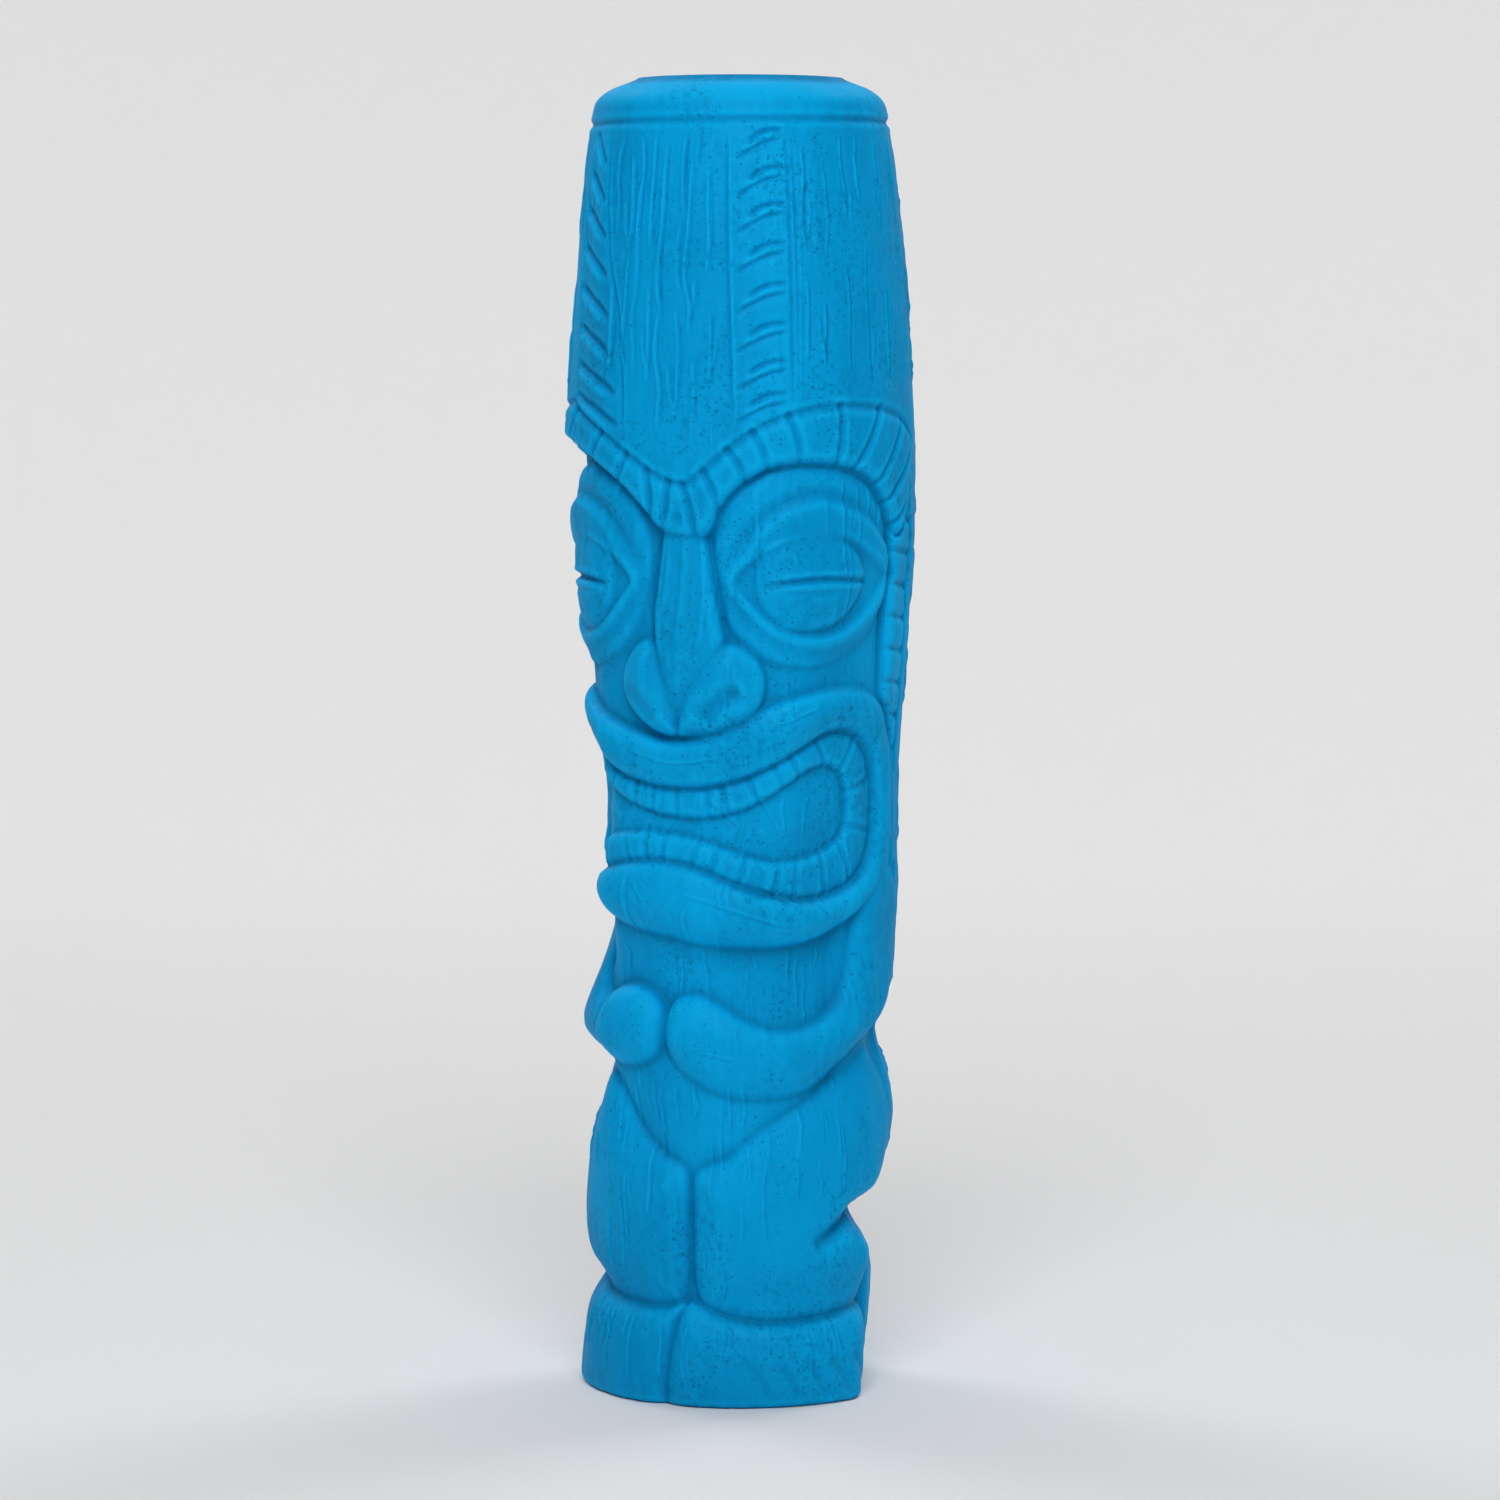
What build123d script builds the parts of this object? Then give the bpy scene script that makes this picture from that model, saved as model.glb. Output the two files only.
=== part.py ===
from build123d import *

import math
import os

# A tall ceramic tiki mug, 230 mm high. A plain cup (base slab, wall and rim band) stands in the
# middle, shaped outside like a barrel-bellied log. Every raised feature of the carving is an
# applied piece of its own, luted to the log's surface: brow band, side braids, eyes, nose, lips,
# teeth, jaw, arms, torso, legs, feet and the two feather strips of the tall headdress.
#
# Frame: +Z up, the origin at the centre of the base slab's underside, the face towards -Y.
# Azimuths are degrees round the axis, 0 at the front and positive towards the tiki's own left (+X).
# Left and right are always the tiki's own.

# ---- driving sizes, mm ----
HEIGHT = 230.0
SLAB_TOP = 7.0            # inside floor of the cup, and the bottom of the wall
WALL = 3.6                # under the carving; the uncarved back is thicker
LOG_LOW = 20.8            # radius of the carved front of the log along the legs and the belly
SWELL_Z = 72.0            # where it starts to widen towards the head
BROW_R, BROW_Z = 29.2, 165.0
CROWN_R, CROWN_Z = 29.7, 182.0    # the widest place, in the headdress
# The back of the log is left fuller, with a hollow round it at the knees and at the waist:
# (radius, height) up its outside, below the headdress.
BACK = [
    (22.4, SLAB_TOP), (23.1, 20), (21.0, 31), (25.7, 41), (26.5, 50), (24.2, 61.5), (27.0, 74),
    (27.6, 112), (BROW_R, 150), (BROW_R, BROW_Z),
]
BACK_ANGLE = 112.0        # where the back starts, to each side of the middle of the face
GROOVE_R, GROOVE_Z = 25.7, 222.0  # groove under the rim band, where the band sits on the wall
SHOULDER_R, SHOULDER_Z = 24.9, 227.0
LIP_OUT, LIP_IN = 19.6, 18.8      # flat crest of the drinking lip, which curls in over the cup
LIP_ROUND = 1.2
LIP_DEPTH = 2.6           # how far down the lip's narrowest part runs
NECK_R = 21.2             # inside radius where the rim band meets the wall
FOOT_RING_W = 5.0         # unglazed ring that the mug stands on
FOOT_RECESS = 1.0         # depth of the hollow inside that ring

# The face and the legs mirror about these azimuths: the mug is cut by hand, not squarely.
FACE_TURN = 3.0
LEG_TURN = 4.0
SIDES = (("left", 1), ("right", -1))

LIP_R = 4.3
JAW_R = 6.2
EYE_ANGLE, EYE_Z = 49.0, 142.3    # middle of each eye, from the middle of the face
ARM_R = 6.9
FOOT_TOP = 17.0
FOOT_LIFT = 0.6           # the feet stop short of the surface that the slab stands on
GAP = 0.4                 # open joint between the two legs and between the two feet


# ---- places and simple solids ----
def log_radius(z):
    """The log's radius at a height."""
    if z < SWELL_Z:
        return LOG_LOW
    if z < BROW_Z:
        return LOG_LOW + (BROW_R - LOG_LOW) * (z - SWELL_Z) / (BROW_Z - SWELL_Z)
    crown = CROWN_R - BROW_R if z < CROWN_Z else CROWN_R - GROOVE_R
    reach = CROWN_Z - BROW_Z if z < CROWN_Z else GROOVE_Z - CROWN_Z
    return CROWN_R - crown * ((z - CROWN_Z) / reach) ** 2


def spot(azimuth, radius, z):
    """The point at an azimuth, a radius from the axis and a height."""
    a = math.radians(azimuth)
    return Vector(radius * math.sin(a), -radius * math.cos(a), z)


def facing(azimuth, radius, z):
    """A place there whose Z points straight out of the log, Y up and X towards larger azimuths."""
    a = math.radians(azimuth)
    outward = (math.sin(a), -math.cos(a), 0)
    sideways = (math.cos(a), math.sin(a), 0)
    return Plane(origin=spot(azimuth, radius, z), x_dir=sideways, z_dir=outward).location


def ball(azimuth, radius, z, size):
    return Pos(*spot(azimuth, radius, z)) * Sphere(size)


def limb(start, start_r, end, end_r):
    """A tapered round bar with a ball at each end, between two (azimuth, radius, z) spots."""
    a, b = spot(*start), spot(*end)
    middle = Plane(origin=(a + b) * 0.5, z_dir=b - a)
    bar = middle.location * Cone(start_r, end_r, (b - a).length)
    return bar + Pos(*a) * Sphere(start_r) + Pos(*b) * Sphere(end_r)


def tube(stops, section_r):
    """A round bar through (azimuth, radius, z) stops, its corners as round as they can be."""
    points = [spot(*s) for s in stops]
    radii = []
    for last, p, following in zip(points, points[1:], points[2:]):
        before, after = last - p, following - p
        turn = math.radians(180 - before.get_angle(after))
        radii.append(0.45 * min(before.length, after.length) / math.tan(turn / 2))
    path = FilletPolyline(*points, radius=radii)
    bar = sweep(Plane(origin=path @ 0, z_dir=path % 0) * Circle(section_r), path=path)
    return bar + Pos(*points[0]) * Sphere(section_r) + Pos(*points[-1]) * Sphere(section_r)


def mirrored(half, *middle):
    """Stops for the whole face from those of its left half, whose angles are from its middle."""
    left = [(FACE_TURN + a, *rest) for a, *rest in half]
    right = [(FACE_TURN - a, *rest) for a, *rest in reversed(half)]
    return [*left, *[(FACE_TURN, *rest) for rest in middle], *right]


def flat(stop):
    """An (azimuth, z) stop as a point on the log's surface rolled out flat."""
    azimuth, z = stop
    return math.radians(azimuth) * log_radius(z), z


def evenly(stops, count):
    """The same (azimuth, z) line with new stops, which part it into cells of equal length."""
    runs = [math.dist(flat(a), flat(b)) for a, b in zip(stops, stops[1:])]
    line = [stops[0]]
    for i in range(1, count):
        left = i * sum(runs) / count
        for a, b, run in zip(stops, stops[1:], runs):
            if left <= run:
                break
            left -= run
        t = left / run
        line.append((a[0] + (b[0] - a[0]) * t, a[1] + (b[1] - a[1]) * t))
    return [*line, stops[-1]]


def blocks(stops, height, proud):
    """A row of blocks, one from each (azimuth, z) stop to the next, all standing proud of the log."""
    sunk, joint, edge = 3.0, 0.4, 0.6
    row = []
    for a, b in zip(stops, stops[1:]):
        (xa, za), (xb, zb) = flat(a), flat(b)
        block = Box(math.dist(flat(a), flat(b)) - joint, height, proud + sunk)
        block = chamfer(block.faces().sort_by(Axis.Z)[-1].edges(), edge)
        slope = math.degrees(math.atan2(zb - za, xb - xa))
        azimuth, z = (a[0] + b[0]) / 2, (za + zb) / 2
        row.append(facing(azimuth, log_radius(z) + (proud - sunk) / 2, z) * Rot(0, 0, slope) * block)
    return row


# ---- the cup ----
def revolved(*runs):
    """The solid that a closed outline, in (radius, height), sweeps round the axis."""
    return revolve(Plane.XZ * make_face([edge for run in runs for edge in run.edges()]), Axis.Z)


def skin(low, high, proud):
    """A thick ring that stands proud of the log between two heights."""
    steps = 5
    outside = [low + (high - low) * i / steps for i in range(steps + 1)]
    outside = [(log_radius(z) + proud, z) for z in outside]
    core = 15.0
    return revolved(Polyline(*outside, (core, high), (core, low), outside[0]))


def log_front():
    """The log as a solid of revolution, at the radius that its front is carved down to."""
    side = Polyline((LOG_LOW, SLAB_TOP), (LOG_LOW, SWELL_Z), (BROW_R, BROW_Z))
    crown = ThreePointArc((BROW_R, BROW_Z), (CROWN_R, CROWN_Z), (GROOVE_R, GROOVE_Z))
    rest = Polyline((GROOVE_R, GROOVE_Z), (0, GROOVE_Z), (0, SLAB_TOP), (LOG_LOW, SLAB_TOP))
    return revolved(side, crown, rest)


def log_back():
    """The uncarved back: the part of a fatter log behind the two braids."""
    core = 15.0
    outline = Polyline(*BACK, (core, BROW_Z), (core, SLAB_TOP), BACK[0])
    turned = revolve(Plane.XZ * make_face(outline.edges()), Axis.Z, 360 - 2 * BACK_ANGLE)
    return Rot(0, 0, FACE_TURN + BACK_ANGLE - 90) * turned


def log_solid():
    """The whole log without its hollow, to trim the applied pieces against."""
    return log_front() + log_back() + slab_blank()


def cavity():
    """The drinking space: it follows the log, one wall thickness in, and runs out of the top."""
    low, brow, crown = LOG_LOW - WALL, BROW_R - WALL, CROWN_R - WALL
    side = Polyline((low, SLAB_TOP), (low, SWELL_Z), (brow, BROW_Z))
    head = ThreePointArc((brow, BROW_Z), (crown, CROWN_Z), (NECK_R, GROOVE_Z))
    rest = Polyline((NECK_R, GROOVE_Z), (0, GROOVE_Z), (0, SLAB_TOP), (low, SLAB_TOP))
    return revolved(side, head, rest)


def slab_blank():
    return Cylinder(LOG_LOW, SLAB_TOP, align=(Align.CENTER, Align.CENTER, Align.MIN))


def base_slab():
    hollow = Cylinder(LOG_LOW - FOOT_RING_W, FOOT_RECESS, align=(Align.CENTER, Align.CENTER, Align.MIN))
    return slab_blank() - hollow


def cup_wall():
    return log_front() + log_back() - cavity()


def rim_band():
    inner = LIP_IN - LIP_ROUND
    out_side = ThreePointArc((GROOVE_R, GROOVE_Z), (SHOULDER_R, SHOULDER_Z), (LIP_OUT, HEIGHT))
    crest = Line((LIP_OUT, HEIGHT), (LIP_IN, HEIGHT))
    roll = RadiusArc((LIP_IN, HEIGHT), (inner, HEIGHT - LIP_ROUND), -LIP_ROUND)
    throat = [(inner, HEIGHT - LIP_ROUND), (inner, HEIGHT - LIP_DEPTH), (NECK_R, GROOVE_Z)]
    rest = Polyline(*throat, (GROOVE_R, GROOVE_Z))
    return revolved(out_side, crest, roll, rest)


# ---- the face ----
def nose_bridge():
    return limb((FACE_TURN + 2, 24.4, 147.4), 3.9, (FACE_TURN, 25.6, 125.6), 5.3)


def nostril(side):
    return ball(FACE_TURN + side * 15, 24.6, 125.0, 6.2)


def almond(side, half_width, up, down):
    """A bar of almond section that runs straight out of the log at one eye."""
    corner = 1.6
    top = ThreePointArc((-half_width, corner), (0, up), (half_width, corner))
    bottom = ThreePointArc((half_width, corner), (0, -down), (-half_width, corner))
    bar = extrude(make_face(top.edges() + bottom.edges()), 20)
    return facing(FACE_TURN + side * EYE_ANGLE, 15, EYE_Z) * bar


def eyeball(side):
    return ball(FACE_TURN + side * EYE_ANGLE, 17.0, EYE_Z, 12.4) & almond(side, 12.8, 7.0, 7.2)


def eyelids(side):
    """The raised almond of the two lids, round the eyeball."""
    ring = almond(side, 14.8, 9.4, 9.6) - almond(side, 13.0, 7.2, 7.4)
    return skin(130, 155, 2.2) & ring


def eye_mound(side):
    """The low swelling between the brow and the cheek that the eye is set in."""
    ring = almond(side, 16.0, 16.4, 13.6) - almond(side, 15.0, 9.6, 9.8)
    return skin(126, 161, 1.1) & ring


def upper_lip():
    half = [(85, 25.6, 103), (81, 25.6, 113.4), (60, 25.8, 119.8), (42, 25.6, 118.2), (21, 25.6, 114)]
    return tube(mirrored(half, (26.2, 112.3)), LIP_R)


def jaw():
    half = [(78, 24.2, 97), (68, 24.2, 91.4), (48, 24.4, 88.6), (24, 24.6, 87.8)]
    return tube(mirrored(half, (24.8, 87.6)), JAW_R)


def upper_teeth():
    half = [(68, 104.6), (66, 109), (57, 112.4), (42, 110.8), (21, 106.6)]
    return blocks(evenly(mirrored(half, (105.0,)), 15), 4.6, 2.4)


def lower_teeth():
    half = [(57, 98.8), (46, 97.4), (24, 96.6)]
    return blocks(evenly(mirrored(half, (96.4,)), 11), 4.4, 2.4)


def brow_band():
    outer = [(95, 159.6), (77, 166.4), (59, 168.4), (42, 167.8), (29, 165.4)]
    inner = [(18.5, 162), (10, 158.8), (3.5, 156.6)]
    return blocks(mirrored(outer + inner), 9.0, 1.7)


def braid(side):
    """The column of blocks that runs down behind the face, from the brow to the jaw."""
    azimuth = FACE_TURN + side * 103
    return blocks(evenly([(azimuth, 154.5), (azimuth, 88)], 15), 6.6, 2.8)


def feather_strip(side):
    """A raised strip up the headdress with slanting leaf cuts, which climb towards its outside."""
    azimuth, low, high = FACE_TURN - 5 + side * 33, 174.0, 219.5
    width, cuts = 11.0, 7
    pitch = (high - low) / cuts
    strip = skin(low, high, 0.8) & (facing(azimuth, 24, (low + high) / 2) * Box(width, high - low, 20))
    for i in range(cuts):
        z = low + (i + 0.5) * pitch
        leaf = Rot(0, 0, side * 28) * Box(width * 0.8, 1.6, 6.4)
        strip -= facing(azimuth, log_radius(z) + 3.6, z) * leaf
    return strip


# ---- the body ----
def torso():
    return ball(FACE_TURN, 4.4, 62, 22.0)


def arm(side):
    """Shoulder behind the jaw, elbow at the side, forearm along the belly, a round fist at the end."""
    fist = {1: 11.5, -1: -26}[side]
    stops = [(side * 94, 20.4, 80.5), (side * 87, 20.8, 66), (side * 58, 20.8, 62), (fist, 21.8, 64.6)]
    return tube(stops, ARM_R)


def leg(side):
    """Bent leg: the thigh from the hip down to the knee in front, then the shin."""
    thigh = limb((LEG_TURN + side * 94, 14.6, 43), 11.6, (LEG_TURN + side * 34, 15.4, 37), 11.0)
    shin = limb((LEG_TURN + side * 34, 15.4, 37), 11.0, (LEG_TURN + side * 34, 13.2, 20), 10.8)
    calf = ball(LEG_TURN + side * 92, 13.2, 24, 10.2)
    return (thigh + shin + calf) & half_space(side, LEG_TURN, FOOT_TOP, 70)


def foot(side):
    """A plump foot with its toes forward, flat under and rounded above."""
    block = Cylinder(15.0, FOOT_TOP - FOOT_LIFT)
    block = fillet(block.edges().group_by(Axis.Z)[-1], 3.0)
    block = fillet(block.edges().group_by(Axis.Z)[0], 1.6)
    block = Pos(*spot(LEG_TURN + side * 44, 12.6, (FOOT_TOP + FOOT_LIFT) / 2)) * block
    return block & half_space(side, LEG_TURN - 3, 0, FOOT_TOP)


def half_space(side, azimuth, low, high):
    """Everything on one side of the middle plane at an azimuth, between two heights."""
    size = 80
    edge = Align.MIN if side > 0 else Align.MAX
    room = Box(size, 2 * size, high - low, align=(edge, Align.CENTER, Align.MIN))
    return Rot(0, 0, azimuth) * Pos(side * GAP / 2, 0, low) * room


# ---- putting it together ----
MAKERS = {
    "nose_bridge": nose_bridge, "upper_lip": upper_lip, "jaw": jaw, "upper_teeth": upper_teeth,
    "lower_teeth": lower_teeth, "brow_band": brow_band,
}
PAIRED_MAKERS = {
    "nostril": nostril, "eyeball": eyeball, "eyelids": eyelids, "eye_mound": eye_mound,
    "braid": braid, "feather_strip": feather_strip, "arm": arm, "leg": leg, "foot": foot,
}
# Where two pieces meet, the one behind is cut back to the one in front of it.
BEHIND = {
    "nostril": ["nose_bridge"],
    "jaw": ["upper_lip"],
    "arm": ["jaw"],
    "torso": ["arm", "leg"],
}


def relief():
    """Every applied piece, before it is cut back: its node's name and its solid or row of solids."""
    pieces = {name: make() for name, make in MAKERS.items()}
    for part_name, make in PAIRED_MAKERS.items():
        pieces |= {f"{name}_{part_name}": make(side) for name, side in SIDES}
    pieces["torso"] = torso()
    return pieces


def plain(name):
    """A node's name without its side."""
    return name.removeprefix("left_").removeprefix("right_")


def in_front(name, pieces):
    """The pieces that a node is cut back to."""
    rivals = BEHIND.get(plain(name), [])
    return [piece for other, piece in pieces.items() if plain(other) in rivals]


def cut_back(piece, fronts):
    """A solid, or each solid of a row, less those in front of it and the log behind it."""
    kept = []
    for solid in piece if isinstance(piece, list) else [piece]:
        for front in [log_solid(), *fronts]:
            solid = solid - front
        kept.append(max(solid.solids(), key=lambda s: s.volume))
    return kept


def main():
    os.makedirs("parts", exist_ok=True)
    finished = {"base_slab": [base_slab()], "cup_wall": [cup_wall()], "rim_band": [rim_band()]}
    pieces = relief()
    for name, piece in pieces.items():
        finished[name] = cut_back(piece, in_front(name, pieces))
    for name, solids in finished.items():
        shape = solids[0] if len(solids) == 1 else Compound(children=solids)
        export_step(shape, f"parts/{name}.step")


main()
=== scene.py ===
import math

import bpy
import numpy as np
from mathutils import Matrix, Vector

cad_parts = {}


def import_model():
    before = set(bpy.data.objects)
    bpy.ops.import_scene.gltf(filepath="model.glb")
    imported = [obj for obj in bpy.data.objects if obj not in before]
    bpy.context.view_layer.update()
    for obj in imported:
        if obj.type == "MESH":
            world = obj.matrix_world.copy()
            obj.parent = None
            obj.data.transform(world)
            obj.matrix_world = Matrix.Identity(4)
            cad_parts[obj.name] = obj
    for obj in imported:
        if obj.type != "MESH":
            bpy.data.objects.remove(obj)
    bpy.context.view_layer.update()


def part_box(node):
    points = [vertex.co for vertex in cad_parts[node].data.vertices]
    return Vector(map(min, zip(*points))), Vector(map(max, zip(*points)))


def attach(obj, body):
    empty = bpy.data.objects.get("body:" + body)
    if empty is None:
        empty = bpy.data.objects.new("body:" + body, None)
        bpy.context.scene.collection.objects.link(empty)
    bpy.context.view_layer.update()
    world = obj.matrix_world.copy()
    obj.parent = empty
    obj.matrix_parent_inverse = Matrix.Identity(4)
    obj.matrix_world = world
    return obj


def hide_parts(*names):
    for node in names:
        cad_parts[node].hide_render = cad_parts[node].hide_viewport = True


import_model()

# The mug's whole outside is one field of radii over azimuth and height. It is carved here in
# millimetres and degrees: azimuth 0 is the front (-Y), positive towards the tiki's own left (+X).
# Every node's visible piece is then cut out of that one field, so that neighbours meet exactly.

MM = 0.001
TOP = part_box("rim_band")[1][2] / MM
GROOVE_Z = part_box("rim_band")[0][2] / MM
SLAB_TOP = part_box("base_slab")[1][2] / MM
COARSE = 1
PER_DEGREE = math.radians(1) * 27.0     # mm along the surface for one degree
FACE_TURN = 3.0                         # the face's middle azimuth
VIEW_TURN = math.radians(24)            # the camera stands this far round to the tiki's left

# ---- the grid
def columns(start, end, step):
    return np.linspace(start, end, round((end - start) / (step * COARSE)), endpoint=False)


FINE_LO, FINE_HI = -96.0, 132.0         # azimuths that get the finer columns
STEP_Z = 0.33 * COARSE
# columns, in degrees; the last joins the first again
TH = np.concatenate([columns(FINE_LO, FINE_HI, 0.62), columns(FINE_HI, FINE_LO + 360, 0.85)])
ZZ = np.linspace(0, TOP, round(TOP / STEP_Z) + 1)
COLS, ROWS = len(TH), len(ZZ)
AZ = (TH + 180) % 360 - 180             # the same azimuths between -180 and 180
Z = ZZ[:, None]
SIDE = np.abs((AZ - FACE_TURN + 180) % 360 - 180)[None, :]   # degrees from the middle of the face
RNG = np.random.default_rng(9)


def ramp(x, low, high):
    """0 below low, 1 above high, and smooth between."""
    t = np.clip((x - low) / (high - low), 0, 1)
    return t * t * (3 - 2 * t)


def bell(x, middle, half):
    return np.exp(-(((x - middle) / half) ** 2))


def through(points, x):
    """A value read off a line through (x, value) points."""
    xs, ys = zip(*points)
    return np.interp(x, xs, ys)


# ---- the uncarved log
# Outside radius by height: in front, at the cheeks (70 degrees round), over the back, and all round
# the headdress.
FRONT = [
    (0, 27.8), (3, 28.4), (8, 28.2), (14, 27.4), (19, 26.0), (26, 26.6), (40, 26.9), (50, 27.2),
    (57, 27.8), (66, 28.6), (72, 28.4), (78, 29.0), (82, 30.4), (88, 31.0), (94, 30.8), (104, 30.2),
    (114, 30.1), (122, 30.6), (132, 30.0), (146, 30.0), (156, 30.6), (164, 30.9), (172, 30.5),
]
CHEEK = [
    (0, 28.2), (3, 28.2), (9, 27.5), (14, 26.9), (18.6, 25.0), (22, 26.6), (26, 27.2), (32, 27.2),
    (40, 26.6), (46, 25.6), (52, 23.6), (57, 23.0), (59, 24.2), (61, 26.4), (63, 27.7), (65, 28.1),
    (67, 27.9), (69, 27.1), (72, 25.8), (77, 23.9), (82, 22.4), (86, 21.5), (89, 22.8), (94, 24.2),
    (104, 24.4), (114, 25.6), (120, 27.2), (130, 27.8), (142, 28.5), (152, 29.9), (164, 30.9),
    (172, 30.4),
]
LEFT_CHEEK = [
    (0, 28.2), (3, 28.2), (9, 27.5), (14, 26.9), (19.5, 25.6), (26, 27.0), (32, 27.2), (44, 27.0),
    (52, 26.2), (57, 25.8), (62, 26.8), (66, 27.7), (72, 27.6), (78, 27.2), (84, 27.0), (94, 27.2),
    (104, 27.3), (114, 27.6), (122, 28.4), (130, 29.0), (142, 29.8), (152, 30.4), (164, 30.8),
    (172, 30.4),
]
BACK = [
    (0, 20.9), (1.5, 21.4), (6, 22.1), (14, 23.0), (20, 23.3), (25, 22.4), (29, 19.8), (31, 19.2),
    (34, 21.6), (38, 25.0), (43, 26.6), (49, 27.2), (55, 26.2), (60, 24.4), (63, 23.4), (66, 25.2),
    (72, 27.0), (80, 27.4), (92, 27.8), (108, 27.8), (122, 28.7), (134, 29.6), (146, 30.5), (156, 30.8),
    (168, 30.6), (172, 30.4),
]
HEAD = [
    (172, 30.4), (176, 30.1), (183, 29.8), (190, 29.5), (196, 29.1), (200, 28.7), (207, 28.0),
    (211, 27.5), (215, 27.0), (218, 26.6), (221, 26.1), (GROOVE_Z, 25.9), (223.5, 25.8), (224.7, 25.6),
    (225.7, 25.3), (226.5, 24.8), (227.2, 24.1), (227.8, 23.2), (228.3, 22.2), (228.7, 21.1),
    (229.1, 19.9), (229.5, 18.9), (229.8, 18.3), (TOP, 17.9),
]


# where the turn to the back begins, in degrees from the middle of the face, and how long it is
BACK_STARTS = [
    (0, 64), (14, 68), (24, 76), (44, 82), (58, 80), (66, 78), (72, 84), (90, 82), (110, 82), (230, 84),
]
BACK_SPAN = [(0, 30), (14, 30), (30, 24), (60, 22), (230, 22)]


def log_surface():
    """The outside of the log before anything is cut into it."""
    front, cheek, left, back = (through(p, Z) for p in (FRONT, CHEEK, LEFT_CHEEK, BACK))
    cheek = cheek + (left - cheek) * (AZ > 0)
    muzzle = bell(Z, 98, 22)
    to_cheek = ramp(SIDE, 34 - 8 * muzzle, 68 - 7 * muzzle)
    to_back = ramp((SIDE - through(BACK_STARTS, Z)) / through(BACK_SPAN, Z), 0, 1)
    body = front + (cheek - front) * to_cheek
    body = body + (back - body) * to_back
    # the hollow behind the tiki's left knee comes further forward
    body = body - 5.2 * bell(Z, 31, 3.4) * ramp(AZ, 64, 86) * (1 - ramp(AZ, 86, 104))
    # the notches between the brow's end, the eye and the cheek on the tiki's right
    right_edge = ramp(-AZ, 48, 60) * (1 - ramp(-AZ, 80, 94))
    body = body - (1.2 * bell(Z, 126, 3) - 0.7 * bell(Z, 134.5, 2)) * right_edge
    body = body - 3.4 * bell(Z, 162, 1.8) * (ramp(-AZ, 48, 60) * (1 - ramp(-AZ, 102, 122)))
    head = through(HEAD, Z) - 0.5 * bell(Z, 195, 16) * ramp(-AZ, 25, 60)
    whole = np.where(Z < 172, body, head)
    return np.where(Z < 223, smooth_up(whole, 1.3), whole)


def smooth_up(values, reach):
    """Evens a field out up and down, over `reach` mm."""
    steps = np.arange(-3 * reach, 3 * reach + 1e-6, ZZ[1] - ZZ[0])
    weights = np.exp(-0.5 * ((steps - steps.mean()) / reach) ** 2)
    weights /= weights.sum()
    half = len(weights) // 2
    padded = np.pad(values, ((half, len(weights) - 1 - half), (0, 0)), mode="edge")
    return sum(w * padded[i:i + len(values)] for i, w in enumerate(weights))


LOG = log_surface()
radius = LOG.copy()
NAMES = [                               # the three that go all the way round come first
    "cup_wall", "base_slab", "rim_band", "left_feather_strip", "right_feather_strip", "brow_band",
    "left_braid", "right_braid", "left_eye_mound", "right_eye_mound", "left_eyelids", "right_eyelids",
    "left_eyeball", "right_eyeball", "nose_bridge", "left_nostril", "right_nostril", "upper_lip", "jaw",
    "upper_teeth", "lower_teeth", "left_arm", "right_arm", "torso", "left_leg", "right_leg", "left_foot",
    "right_foot",
]
owner = np.zeros((ROWS, COLS), dtype=int)


# ---- carving tools
def curve(points, closed=False, steps=7):
    """A smooth line through (azimuth, z) points."""
    p = np.array(points, float)
    if closed:
        p = np.vstack([p[-1:], p, p[:2]])
    else:
        p = np.vstack([2 * p[:1] - p[1:2], p, 2 * p[-1:] - p[-2:-1]])
    t = np.linspace(0, 1, steps, endpoint=False)[:, None]
    spans = []
    for a, b, c, d in zip(p, p[1:], p[2:], p[3:]):
        bend = (2 * a - 5 * b + 4 * c - d) * t**2
        twist = (3 * b - a - 3 * c + d) * t**3
        spans.append(0.5 * (2 * b + (c - a) * t + bend + twist))
    line = np.vstack(spans)
    return line if closed else np.vstack([line, p[-2:-1]])


def window(points, margin):
    """The rows and columns round some points."""
    p = np.asarray(points, float)
    aside = margin / PER_DEGREE
    rows = np.flatnonzero((ZZ > p[:, 1].min() - margin) & (ZZ < p[:, 1].max() + margin))
    cols = np.flatnonzero((AZ > p[:, 0].min() - aside) & (AZ < p[:, 0].max() + aside))
    return np.ix_(rows, cols)


def measure(points, cells):
    """For every grid point in a window: how far it is from a line in mm, how far along (0 to 1), on
    which side (+1 is the left of the line's direction), and if a closed line holds it."""
    rows, cols = cells
    u, v = AZ[cols] * PER_DEGREE, ZZ[rows]
    p = np.asarray(points, float) * (PER_DEGREE, 1)
    steps = np.diff(p, axis=0)
    lengths = np.hypot(*steps.T)
    total, walked = lengths.sum(), 0.0
    shape = np.broadcast(u, v).shape
    best, along, side = np.full(shape, 1e9), np.zeros(shape), np.ones(shape)
    held = np.zeros(shape, bool)
    for (ax, az), (dx, dz), length in zip(p, steps, lengths):
        if length < 1e-9:
            continue
        t = np.clip(((u - ax) * dx + (v - az) * dz) / length**2, 0, 1)
        away = (u - ax - t * dx) ** 2 + (v - az - t * dz) ** 2
        near = away < best
        best = np.where(near, away, best)
        along = np.where(near, (walked + t * length) / total, along)
        side = np.where(near, np.sign(dx * (v - az) - dz * (u - ax)), side)
        if abs(dz) > 1e-9:
            held ^= ((v < az) != (v < az + dz)) & (u < ax + (v - az) * dx / dz)
        walked += length
    return np.sqrt(best), along, side, held


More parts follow.
